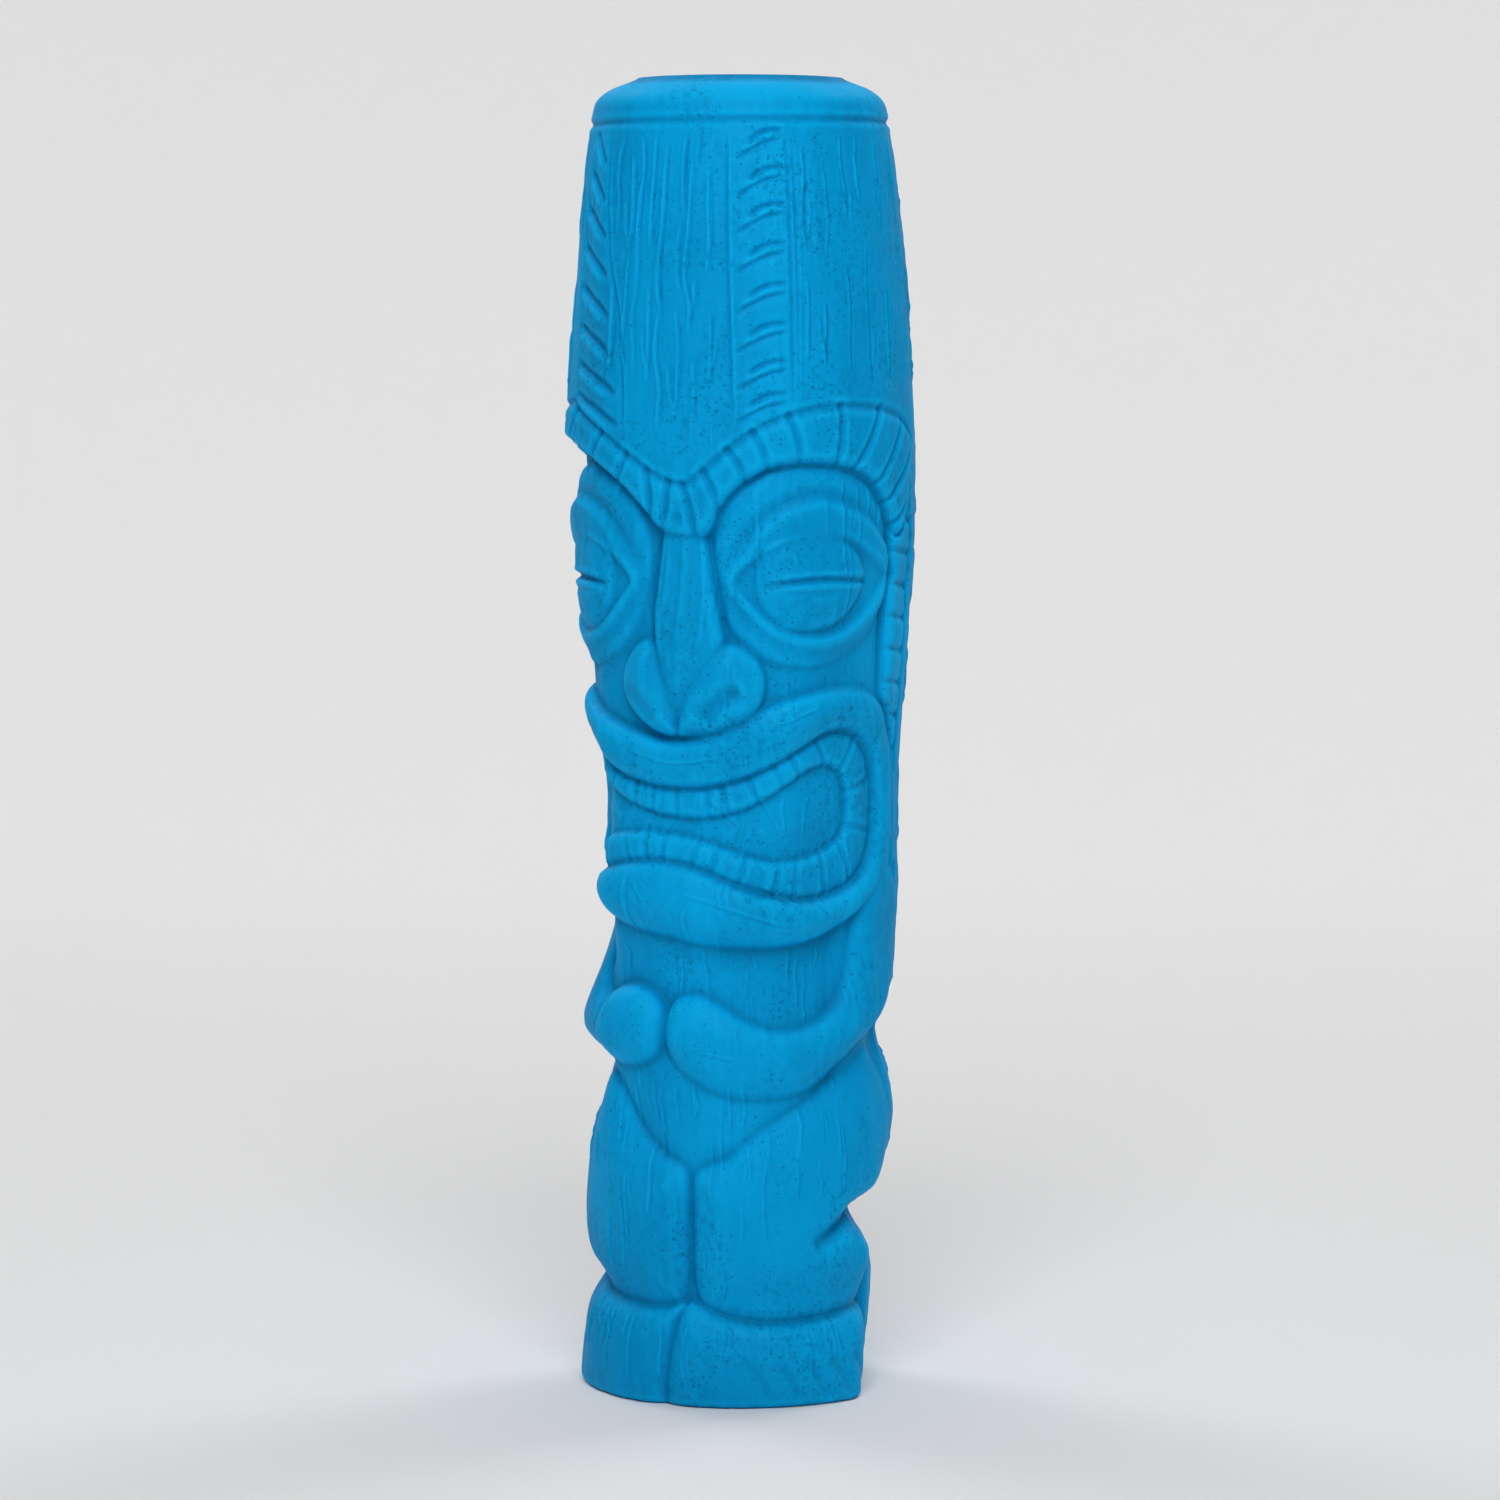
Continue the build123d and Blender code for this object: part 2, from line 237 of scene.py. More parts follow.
def depth_in(outline, cells):
    """How deep inside a closed outline each grid point is, in mm; outside it is negative."""
    closed = np.vstack([outline, outline[:1]])
    away, _, _, held = measure(closed, cells)
    return np.where(held, away, -away)


def dome(t):
    """The height of a rounded form: 0 at its edge, upright there, and level at 1 for t of 1."""
    t = np.clip(t, 0, 1)
    return np.sqrt(1 - (1 - t) ** 2)


def scratch(points, width, depth, lift):
    """A narrow cut with its burr on one side only."""
    groove(points, width, depth, lift=lift, sided=True)


def claim(name, cells, where):
    """Gives the chosen cells to a node."""
    owner[cells] = np.where(where, NAMES.index(name), owner[cells])


def stand_out(name, cells, surface, where):
    """A form that shows where it is higher than what is already there."""
    wins = where & (surface > radius[cells])
    radius[cells] = np.where(wins, surface, radius[cells])
    claim(name, cells, wins)


def raise_form(name, outline, edge, crown, width, smooth=True):
    """A rounded form. Its surface lies `edge` mm below the log at its outline and `crown` mm below
    it from `width` mm inwards. The crown may be a line of (z, mm) points."""
    line = curve(outline, closed=True) if smooth else outline
    cells = window(line, 1)
    if isinstance(crown, list):
        crown = through(crown, ZZ[cells[0]])
    inside = depth_in(line, cells)
    stand_out(name, cells, LOG[cells] - edge + (edge - crown) * dome(inside / width), inside > 0)


def soften(name, outline, step, width):
    """Raises (or lowers) everything inside an outline by one gentle step."""
    line = curve(outline, closed=True)
    cells = window(line, 2 * width)
    inside = depth_in(line, cells)
    radius[cells] += step * ramp(inside, -0.3 * width, 0.7 * width)
    claim(name, cells, inside > 0)


def bulge(name, outline, height, width):
    """Swells everything inside an outline like a ball."""
    line = curve(outline, closed=True)
    cells = window(line, 1)
    inside = depth_in(line, cells)
    radius[cells] += height * dome(inside / width) * (inside > 0)
    claim(name, cells, inside > 0)


def groove(points, width, depth, closed=False, taper=True, lift=0.0, sided=False):
    """A rounded cut along a line, shallower towards its ends; `lift` raises a burr beside it."""
    line = curve(points, closed)
    if closed:
        line = np.vstack([line, line[:1]])
    cells = window(line, 3 * width)
    away, along, side, _ = measure(line, cells)
    ends = np.clip(np.minimum(along, 1 - along) * 6, 0, 1) ** 0.5 if taper else 1.0
    cut = depth * ends * np.exp(-((away / (0.5 * width)) ** 2))
    burr = lift * ends * bell(away, width, 0.5 * width) * ((side > 0) if sided else 1)
    radius[cells] += burr - cut


def mirror(points):
    """The same line on the other half of the face."""
    return [(2 * FACE_TURN - a, z) for a, z in points]


def both(points):
    """A line and its mirror image, with the names of the tiki's sides."""
    return (("left", points), ("right", mirror(points)))


# ---- the front, cut back
FRONT_CUT = [
    (0, 3.4), (18, 3.4), (44, 3.6), (56, 4.2), (64, 5.0), (78, 5.4), (92, 5.4), (100, 4.2), (112, 3.4),
    (120, 2.6), (132, 2.2), (150, 2.4), (180, 3.0),
]
SIDE_CUT = [
    (0, 3.0), (20, 2.4), (44, 1.6), (60, 2.0), (80, 2.4), (100, 1.2), (120, 1.6), (150, 2.2), (157, 3.4),
    (180, 3.4),
]


def cut_front():
    """Cuts the log back in front, below the brow, so that the forms can rise from there."""
    depth, side_depth = through(FRONT_CUT, Z), through(SIDE_CUT, Z)
    cut = depth + (side_depth - depth) * ramp(SIDE, 40, 72)
    below_brow = Z < through(BROW_MIDDLE, AZ)
    ends = np.where(AZ > 0, 90, 98)
    waist = bell(Z, 62, 8)
    fade = ramp((SIDE - ends + 6 * waist) / (9 + 14 * waist), 0, 1)
    radius[:] = LOG - cut * (1 - fade) * below_brow


# ---- the headdress and the brow
BROW_TOP = [
    (-112, 166), (-104, 170), (-90, 172), (-80, 172.6), (-66, 173), (-50, 174), (-45, 173), (-30, 169.5),
    (-16, 165.3), (-10, 163.4), (-3, 161.2), (5, 160.2), (10, 161.5), (20, 166), (30, 169.6), (40, 171.8),
    (50, 173), (60, 173.4), (75, 173), (85, 172), (93, 170.6), (103, 167),
]
BROW_FOOT = [
    (106, 158.6), (98, 155.4), (91, 150.6), (86.6, 151.6), (80, 156.6), (72, 160.5), (63, 162.4),
    (50, 163.4), (35, 162.8), (25, 160), (18, 156), (14, 151.6), (6, 150.6), (-1, 151.4), (-6, 153),
    (-10, 155.5), (-20, 160), (-34, 163.8), (-45, 166), (-60, 167), (-74, 166.6), (-84, 164.4),
    (-91, 159), (-95, 154.4), (-103, 154.4), (-112, 159),
]
BROW_MIDDLE = [
    (-180, 0), (-113, 0), (-112, 162), (-84, 168), (-60, 170), (-45, 169.5), (-30, 166.5), (-16, 162.4),
    (-6, 158.4), (5, 155.6), (14, 157.5), (25, 163.6), (40, 167), (60, 168), (75, 166.5), (88, 161),
    (104, 159), (105, 0), (180, 0),
]
BROW_JOINTS = [
    ((-109, 168), (-92, 158)), ((-95, 172), (-82, 165)), ((-77, 173), (-71, 166)),
    ((-60, 173.6), (-58, 166)), ((-45, 173), (-52, 166.6)), ((-28, 169), (-34, 164)),
    ((-16, 165.3), (-21, 160)), ((-8, 162.6), (-7, 155)), ((0, 160.6), (-3, 152)), ((5, 160), (9, 151)),
    ((12, 162.3), (17, 155.6)), ((20, 166), (26, 160.4)), ((28, 169), (33, 162.5)),
    ((40, 171.8), (44, 163)), ((59, 173.4), (57, 163)), ((77, 173), (64, 162.4)),
    ((91, 170.6), (75, 160)), ((101, 167), (81, 156.6)), ((105, 162), (86, 152.6)),
]
STRIPS = {
    "left_feather_strip": ([(19, 220), (19.6, 200), (21.6, 170)], [(41, 220), (41.4, 200), (41.6, 174)]),
    "right_feather_strip": (
        [(-33, 220), (-27, 200), (-20, 187), (-17, 168)], [(-48, 220), (-47.5, 200), (-45, 174)],
    ),
}
LEAF_HEIGHTS = (220.2, 213.8, 207.6, 200.9, 194, 187.3, 180.9, 175.4)


def headdress():
    """The two feather strips between their border lines, with a row of leaves down each."""
    for name, (inner, outer) in STRIPS.items():
        outline = inner + outer[::-1]
        cells = window(outline, 2)
        inside = depth_in(outline, cells)
        radius[cells] += 0.2 * ramp(inside, -0.4, 0.8)
        claim(name, cells, (inside > 0) & (owner[cells] == NAMES.index("cup_wall")))
        scratch(inner, 0.55, 0.3, 0.26)
        scratch(outer, 0.55, 0.3, 0.3)
    # the leaves fall from each strip's outer edge towards the front panel
    for z in LEAF_HEIGHTS:
        leaf(40, 22.6, z)
        leaf(-47, (-33 + (220 - z) * 0.33) - 1.2, z, bold=True)
    scratch([(43.4, 219), (43.6, 200), (43, 174)], 0.5, 0.2, 0.2)


def leaf(root, tip, z, bold=False):
    """One leaf: a narrow ridge that tapers to its tip between two curved cuts, or one bold cut."""
    def line(*steps):
        return [(root + (tip - root) * t, z + drop) for t, drop in steps]

    if bold:
        groove(line((0.02, 0), (0.3, -1.2), (0.65, -3.2), (1, -5.8)), 1.5, 0.75)
        groove(line((0.1, -2), (0.4, -3.4), (0.8, -6)), 1.3, -0.25)
        return
    groove(line((0.05, -0.6), (0.34, -1.0), (0.63, -2.2), (0.87, -3.6)), 1.3, -0.3)
    groove(line((0, 0.1), (0.28, 0), (0.55, -0.8), (0.74, -2.2)), 0.95, 0.6)
    groove(line((0, -1.3), (0.4, -2.1), (0.74, -3.5), (1, -4.9)), 0.85, 0.5)


def brow():
    outline = np.vstack([curve(BROW_TOP), curve(BROW_FOOT)])
    raise_form("brow_band", outline, 2.6, -0.25, 1.7, smooth=False)
    groove(BROW_TOP, 1.0, 0.55, taper=False, lift=0.1)
    for top, foot in BROW_JOINTS:
        bend = ((top[0] + foot[0]) / 2 + 0.8, (top[1] + foot[1]) / 2)
        groove([top, bend, foot], 0.95, 0.62, taper=False, lift=0.14)


# ---- the face
EYE_MOUND = [
    (13.8, 145), (15.0, 152), (21, 158.2), (33, 162.2), (45, 163.8), (60, 163.4), (74, 160.2),
    (84.6, 153.6), (88, 146.7), (86, 139), (77, 132.8), (63, 129.2), (49, 128.2), (34, 129.4),
    (24, 132.6), (17.4, 138),
]
EYE_OPENING = [
    (21.5, 143.4), (29, 147.6), (39, 150.6), (51, 151.4), (63, 150.6), (74, 147.8), (84, 144.4),
    (79, 140.6), (71, 136.8), (61, 134.2), (50, 133.4), (38, 134.8), (29, 138.4),
]
UPPER_FOLD = [(19, 145), (24, 149.6), (33, 155), (44, 157.8), (54, 158.3), (68, 156), (78, 152.8), (87, 148)]
LOWER_FOLD = [(20, 141), (26.6, 136.7), (35, 133.4), (46, 131.6), (59, 131.6), (71.7, 134), (82, 138.5)]
LID_RING = [
    (17.5, 143.8), (24, 149.2), (33, 154.6), (44, 157.2), (54, 157.8), (68, 155.4), (78, 152.2),
    (89.5, 144.6), (80, 136.6), (70, 132.2), (58, 130.6), (46, 130.8), (34, 133), (26, 137),
]
EYEBALL = [
    (29.4, 143.4), (30.6, 147.6), (34.4, 150.2), (46, 151.5), (59, 150.8), (66.4, 148.6), (70.8, 145.4),
    (70, 142), (66, 138.6), (59, 136), (49.7, 134.8), (39.7, 135), (33, 137.6), (29.8, 140.4),
]
SLIT = [(32, 142.6), (41, 143.3), (51, 143.7), (60, 143.6), (74, 143.2)]
UNDER_SLIT = [(35.6, 142), (44, 141.4), (52, 141.3), (60, 141.5)]


def eyes():
    """A full mound with two soft folds round an almond opening, and the ball of the eye in it."""
    for name, mound in both(EYE_MOUND):
        if name == "right":
            mound = [(a, z - 3.6 * float(ramp(-a, 40, 62)) * (z > 150)) for a, z in mound]
        raise_form(name + "_eye_mound", mound, 2.6, 0.8, 5.0)
    for name, ring in both(LID_RING):
        soften(name + "_eyelids", ring, 0.75, 2.4)
    for name, opening in both(EYE_OPENING):
        soften(name + "_eyelids", opening, -1.0, 1.5)
    for name, ball in both(EYEBALL):
        bulge(name + "_eyeball", ball, 1.9 if name == "left" else 1.5, 7.0)
    for fold, width, depth in ((UPPER_FOLD, 2.6, 0.45), (LOWER_FOLD, 2.4, 0.4)):
        groove(fold, width, depth)
        groove(mirror(fold), width, depth)
    groove(SLIT, 1.0, 0.75, lift=0.22)
    groove(mirror(SLIT) + [(-80, 143)], 1.0, 1.3, lift=0.22)
    # the corner of the eye shows in the outline on the tiki's right
    groove(mirror(EYE_OPENING[4:9]), 1.8, 0.8)
    groove(UNDER_SLIT, 0.8, 0.2, lift=0.1)
    groove(mirror(UNDER_SLIT), 0.8, 0.2, lift=0.1)


NOSE_LEFT = [
    (12.6, 153), (14.6, 148), (16.4, 143), (18.2, 137), (19.4, 132.6), (16, 127), (9, 121), (4, 117.4),
]
NOSE_RIGHT = [
    (-1, 117.3), (-3, 120.4), (-5, 126), (-7, 132), (-7.8, 137), (-7, 142), (-5.8, 147), (-4.2, 153),
]
NOSE_RIDGE = [(5.6, 154), (6, 146), (5.6, 138), (4.8, 131), (3.0, 125), (2, 117.4)]
LEFT_WING = [
    (1.6, 117), (1.8, 121), (3.0, 126), (7.4, 130.4), (13.6, 132.6), (21, 133.2), (27.6, 131.8),
    (32, 128.8), (33, 124.8), (30.4, 121), (24.6, 118.4), (16, 117), (8, 116.6),
]
RIGHT_WING = [
    (2.2, 117), (2.6, 121.4), (2.0, 125.6), (-1.4, 130.4), (-5.4, 133.4), (-12.4, 133.4), (-18, 130.8),
    (-20.4, 127), (-19, 122.8), (-13, 119.4), (-5, 117.2),
]
NOSE_HEIGHT = [(0, 2.2), (0.3, 3.1), (0.5, 4.0), (0.64, 4.3), (0.76, 3.5), (0.88, 2.4), (1, 1.6)]
NOSTRIL = [(11, 119.6), (15, 121.8), (19.4, 123.6), (24, 124.8)]
NOSE_LINES = [
    [(4, 151), (3.6, 146), (3, 140), (1.4, 133)], [(9.6, 151), (10.4, 145), (10, 138), (8.4, 130)],
    [(-1.4, 150), (-2.4, 144), (-3.6, 138)],
]


def nose():
    """A flat ridge that runs down into the notch between two round wings."""
    outline = np.vstack([curve(NOSE_LEFT), curve(NOSE_RIGHT)])
    cells = window(outline, 1)
    inside = depth_in(outline, cells)
    away, along, _, _ = measure(curve(NOSE_RIDGE), cells)
    across = np.clip(1 - away / np.maximum(away + inside, 0.1), 0, 1)
    height = through(NOSE_HEIGHT, along) * (0.7 * dome(inside / 2.4) + 0.3 * across**0.9)
    stand_out("nose_bridge", cells, LOG[cells] - 2.9 + height, inside > 0)
    raise_form("left_nostril", LEFT_WING, 2.7, -1.3, 7.0)
    raise_form("right_nostril", RIGHT_WING, 2.7, -0.9, 6.0)
    groove(NOSE_RIGHT[3:], 1.1, 0.6)
    groove(NOSE_LEFT[:5], 1.0, 0.3)
    groove([(1.9, 117), (2.2, 121), (2.4, 124.6)], 0.9, 0.25)
    groove(NOSTRIL, 3.4, 1.3)
    groove(mirror(NOSTRIL), 3.4, 0.6)
    for line in NOSE_LINES:
        scratch(line, 0.6, 0.2, 0.2)


# the mouth: a thick ring of lip, then the teeth, then the hollow
LIP_OUT_TOP = [
    (-91, 106), (-88, 114), (-80, 121), (-66, 125), (-52, 125), (-38, 121.6), (-24, 119.0), (-10, 117.0),
    (0, 116.2), (14, 117.8), (30, 121.8), (45, 124), (60, 125.2), (76, 124.8), (88, 122), (97, 116),
    (102, 108),
]
LIP_OUT_FOOT = [
    (103, 99), (101, 92.6), (94, 88), (82, 85.2), (66, 82.2), (50, 80.2), (30, 79.4), (12, 79.7),
    (0, 80.6), (-20, 82.6), (-35, 85.4), (-48, 88.8), (-60, 92.2), (-76, 94.2), (-88, 95.6), (-92, 99),
]
LIP_IN = [
    (-78, 104), (-76, 110.6), (-68, 115.6), (-58, 117), (-46, 116), (-36, 113.4), (-22, 109.9),
    (-10, 108.4), (0, 107.8), (12, 108.0), (24, 109.3), (36, 111.8), (47, 114.6), (58, 117), (69, 117),
    (79, 114.2), (86, 109.4), (88, 102), (85, 96), (77, 91.6), (64, 89.2), (48, 88.4), (34, 89.6),
    (20, 91.9), (8, 94.3), (-4, 95.3), (-18, 94.8), (-32, 93.2), (-48, 92.6), (-62, 93.4), (-73, 96.4),
]
TOOTH_IN = [
    (-64, 104), (-62, 109), (-55, 111.2), (-46, 110.8), (-34, 108.4), (-20, 105.3), (-8, 103.6),
    (2, 102.9), (12, 102.9), (22, 103.8), (32, 105.8), (42, 108.6), (52, 111), (61, 111.4), (68.5, 109),
    (71.5, 104), (69.4, 99.4), (61, 96.8), (48, 95.4), (36, 95.2), (24, 96.6), (12, 98.6), (0, 99.8),
    (-14, 100), (-28, 99.2), (-42, 97.8), (-54, 98.4), (-61, 100.4),
]
MOUTH_MIDDLE = [(-95, 101), (-60, 104), (-20, 102), (5, 101.4), (40, 101.5), (70, 103), (100, 103)]


def mouth():
    """A ring of lip, a band of teeth set back from it, and the hollow set back again."""
    outer = np.vstack([curve(LIP_OUT_TOP), curve(LIP_OUT_FOOT)])
    inner, teeth = curve(LIP_IN, closed=True), curve(TOOTH_IN, closed=True)
    cells = window(outer, 1)
    rows, cols = cells
    from_out, from_in, from_tooth = (depth_in(line, cells) for line in (outer, inner, teeth))
    # the lip: a rounded bar between the outer and the inner line, fullest at the chin
    across = np.clip(from_out / np.maximum(from_out - from_in, 0.1), 0, 1)
    chin = 1 - ramp(ZZ[rows], 84, 104)
    skew = across ** (1 + 0.25 * chin)
    bar = np.sqrt(np.clip(1 - (2 * skew - 1) ** 2, 0, 1)) ** 0.85
    edge_out, edge_in = 3.6 + 2.2 * chin, 3.0
    low = edge_out + (edge_in - edge_out) * across
    lip = LOG[cells] - low + (low + 0.15) * bar
    tooth = np.sqrt(np.clip(from_in * -from_tooth, 0, None)) / np.maximum(0.5 * (from_in - from_tooth), 0.1)
    band = LOG[cells] - 2.6 + 0.9 * np.clip(tooth, 0, 1) ** 0.7
    hollow = LOG[cells] - 3.1 + 0.7 * ramp(from_tooth, 0, 8)
    inside_lip = np.where(from_tooth < 0, band, hollow)
    surface = np.where(from_in < 0, np.maximum(lip, radius[cells]), inside_lip)
    radius[cells] = np.where(from_out > 0, surface, radius[cells])
    above = ZZ[rows] > through(MOUTH_MIDDLE, AZ[cols])
    on_lip = (from_out > 0) & (from_in < 0)
    on_teeth = (from_out > 0) & (from_in >= 0) & (from_tooth < 0)
    claim("upper_lip", cells, on_lip & above)
    claim("jaw", cells, on_lip & ~above)
    claim("upper_teeth", cells, on_teeth & above)
    claim("lower_teeth", cells, on_teeth & ~above)
    claim("cup_wall", cells, (from_out > 0) & (from_in >= 0) & (from_tooth >= 0))
    tooth_gaps()
    groove(LIP_IN, 1.1, 0.2, closed=True, taper=False)
    groove(TOOTH_IN, 0.9, 0.16, closed=True, taper=False)


def tooth_gaps():
    """Cuts across the band of teeth, square to its length."""
    scale = np.array([PER_DEGREE, 1])
    inner, far = (curve(points, closed=True, steps=9) * scale for points in (TOOTH_IN, LIP_IN))
    run = np.vstack([inner, inner[:1]])
    walked = np.concatenate([[0], np.cumsum(np.hypot(*np.diff(run, axis=0).T))])
    count = round(walked[-1] / 4.7)
    for i in range(count):
        at = (i + 0.15 * math.sin(i * 2.3)) / count * walked[-1]
        start = np.array([np.interp(at, walked, run[:, k]) for k in (0, 1)])
        end = far[np.argmin(np.hypot(*(far - start).T))]
        groove([start / scale, (start + end) / 2 / scale, end / scale], 0.9, 0.34, taper=False, lift=0.1)


# ---- braids, arms, torso, legs, feet
BRAID_WIDE = 15.5                       # degrees
BRAID_LOW, BRAID_HIGH, BRAID_BLOCKS = 80.2, 154.0, 13


def braids():
    """Blocks down behind the face, each with a rounded face and leaning back a little."""
    pitch = (BRAID_HIGH - BRAID_LOW) / BRAID_BLOCKS
    for name, turn, start, bottom in (("left", 1, 83.5, BRAID_LOW), ("right", -1, 98, BRAID_LOW + 2 * pitch)):
        front, back = FACE_TURN + turn * start, FACE_TURN + turn * (start + BRAID_WIDE)
        cells = window([(front, BRAID_LOW), (back, BRAID_HIGH)], 1)
        height = ZZ[cells[0]]
        across = np.abs(AZ[cells[1]] - FACE_TURN) - start
        edge = np.minimum(across, BRAID_WIDE - across) * PER_DEGREE
        lean = 0.9 * np.clip(across / BRAID_WIDE, 0, 1)
        step = ((height + lean - BRAID_LOW) / pitch) % 1.0
        block = 0.15 * dome(edge / 1.6) + dome(np.minimum(step, 1 - step) / 0.26) * dome(edge / 1.4)
        inside = (edge > 0) & (height > bottom) & (height < BRAID_HIGH) & (owner[cells] == 0)
        radius[cells] = np.where(inside, LOG[cells] - 1.25 + block, radius[cells])
        claim(name + "_braid", cells, inside)
        groove([(front, BRAID_HIGH), (front, 124)], 1.5, 0.7)


TORSO = [
    (-62, 86), (-40, 88), (0, 88), (40, 88), (72, 88), (78, 78), (78, 66), (86, 60), (72, 55.8),
    (52, 50.4), (32, 44.6), (18, 39.8), (5, 36.4), (-10, 40.6), (-20, 45.4), (-33, 54), (-44, 58),
    (-60, 60), (-68, 72),
]
BELLY_CROWN = [(39, 3.5), (46, 2.6), (53, 1.9), (59, 1.9), (64, 2.6), (70, 3.4), (90, 3.5)]
LEFT_ARM = [
    (74, 88), (71, 81), (68.4, 75.4), (64, 70.6), (56, 67.8), (46, 66.6), (36, 66.6), (26, 68.2),
    (16, 70.8), (8, 72.2), (0, 71.8), (-5, 69.4), (-7.6, 65.8), (-6, 61.6), (0, 57.6), (10, 54.6),
    (22, 52.8), (40, 52.8), (55, 54.6), (70, 58.4), (84, 62.4), (97, 63.0), (106, 67), (111, 78),
    (109, 90), (98, 96), (84, 94),
]
RIGHT_ARM = [
    (-70, 90), (-58, 86), (-50, 80), (-46, 75), (-41, 71.6), (-30, 70), (-20, 69), (-14, 66), (-20, 62.4),
    (-31, 60.6), (-40, 59.6), (-50, 58.6), (-64, 58.2), (-78, 60), (-92, 63), (-100, 70), (-103, 80),
    (-98, 92), (-82, 94),
]
RIGHT_HAND = [
    (-4.2, 66), (-6, 69.6), (-11.6, 72.2), (-20, 73.2), (-30, 72.2), (-38.4, 69.2), (-43, 65.2),
    (-40.6, 61.4), (-31, 58.9), (-20, 58.3), (-11, 59.5), (-6, 62.2),
]
LEFT_THIGH = [
    (4.4, 40.6), (18, 43.6), (30, 48.2), (50, 53.8), (70, 59), (86, 63), (100, 61.6), (112, 57),
    (122, 48), (122, 38), (119, 31), (122, 24), (116, 17.0), (92, 15.6), (74, 14.6), (56, 14.0),
    (34, 13.8), (18, 14.8), (7, 17.0), (3.6, 22), (3.6, 32),
]
RIGHT_THIGH = [
    (2.4, 40.6), (-10, 44.2), (-20, 48.4), (-33, 56.8), (-48, 57.8), (-62, 56.8), (-78, 60), (-94, 62),
    (-106, 56), (-116, 48), (-114, 38), (-106, 33.6), (-96, 31), (-90, 25), (-86, 20.2), (-70, 19.4),
    (-55, 18), (-40, 16.6), (-20, 16), (-6, 16.4), (1.4, 19), (2.8, 30),
]
RIGHT_CALF = [
    (-86, 19), (-91, 25), (-96, 30), (-106, 31.6), (-116, 29), (-122, 24), (-120, 19), (-106, 16.8),
    (-92, 17),
]
LEFT_FOOT = [
    (2, 17.6), (8, 17.4), (18, 15.6), (34, 14.4), (60, 14.6), (86, 15.6), (98, 14.4), (102, 8), (99, -3),
    (60, -4), (20, -4), (-4.8, -4), (-5.2, 2), (-4.2, 8), (-1.8, 14),
]
RIGHT_FOOT = [
    (1, 17.6), (-8, 16.8), (-20, 16.6), (-40, 17.2), (-56, 18.6), (-74, 19.6), (-90, 17.6), (-95, 8),
    (-93, -3), (-60, -4), (-20, -4), (-4.4, -4), (-4.6, 2), (-3.4, 8), (-1.2, 14),
]


def body():
    """The belly, the arms and the bent legs, and the feet with their carving marks."""
    raise_form("torso", TORSO, 4.4, BELLY_CROWN, 8.0)
    raise_form("left_arm", LEFT_ARM, 4.6, -0.4, 6.2)
    raise_form("right_arm", RIGHT_ARM, 4.6, 0.4, 6.2)
    raise_form("right_arm", RIGHT_HAND, 3.8, -1.4, 6.6)
    raise_form("left_leg", LEFT_THIGH, 4.2, -0.1, 12.0)
    raise_form("right_leg", RIGHT_THIGH, 4.2, -0.1, 11.0)
    raise_form("right_leg", RIGHT_CALF, 3.6, 0.1, 7.0)
    # the fold of the left knee
    groove([(126, 30), (110, 31), (98, 32.4), (86, 33), (74, 32.6), (62, 29.6), (53, 27.2)], 4.2, 1.9)
    groove([(84, 33), (74, 32.4), (62, 29.4), (54, 27.4)], 2.2, 0.5)
    raise_form("left_foot", LEFT_FOOT, 2.6, -0.1, 6.5)
    raise_form("right_foot", RIGHT_FOOT, 2.6, 0.0, 6.5)
    for drop in (1.6, 2.5, 3.3):
        line = [(a, z - drop) for a, z in ((10, 15.8), (20, 14.4), (36, 13.6), (52, 13.8))]
        scratch(line, 0.6, 0.15, 0.15)
    for x in range(26, 82, 11):
        groove([(x, 8.6), (x + 5, 5.2), (x + 10, 0.8)], 2.0, 0.45)


# ---- grain
def noise(step_t, step_z, seed):
    """Smooth noise over the surface, about 1 high, from a coarse grid of random numbers."""
    rng = np.random.default_rng(seed)
    n_t, n_z = max(3, round(360 / step_t)), max(3, round(TOP / step_z) + 2)
    knots = rng.standard_normal((n_z, n_t))
    x, y = (AZ + 180) / 360 * n_t, ZZ / TOP * (n_z - 2)
    x0, y0 = np.floor(x).astype(int), np.floor(y).astype(int)
    fx, fy = ramp(x - x0, 0, 1), ramp(y - y0, 0, 1)[:, None]
    x1, x0, y1 = (x0 + 1) % n_t, x0 % n_t, np.minimum(y0 + 1, n_z - 1)
    a, b = knots[np.ix_(y0, x0)], knots[np.ix_(y0, x1)]
    c, d = knots[np.ix_(y1, x0)], knots[np.ix_(y1, x1)]
    return (a * (1 - fx) + b * fx) * (1 - fy) + (c * (1 - fx) + d * fx) * fy


def crack(azimuth, low, high, width, depth, lift, sway):
    """One wandering vertical crack, with a raised edge on one side."""
    count = max(4, round((high - low) / 4.5))
    zs = np.linspace(low, high, count)
    drift = np.cumsum(RNG.normal(0, 0.45 * sway, count))
    drift -= np.linspace(drift[0], drift[-1], count)
    scratch(list(zip(azimuth + drift, zs)), width, depth, lift)


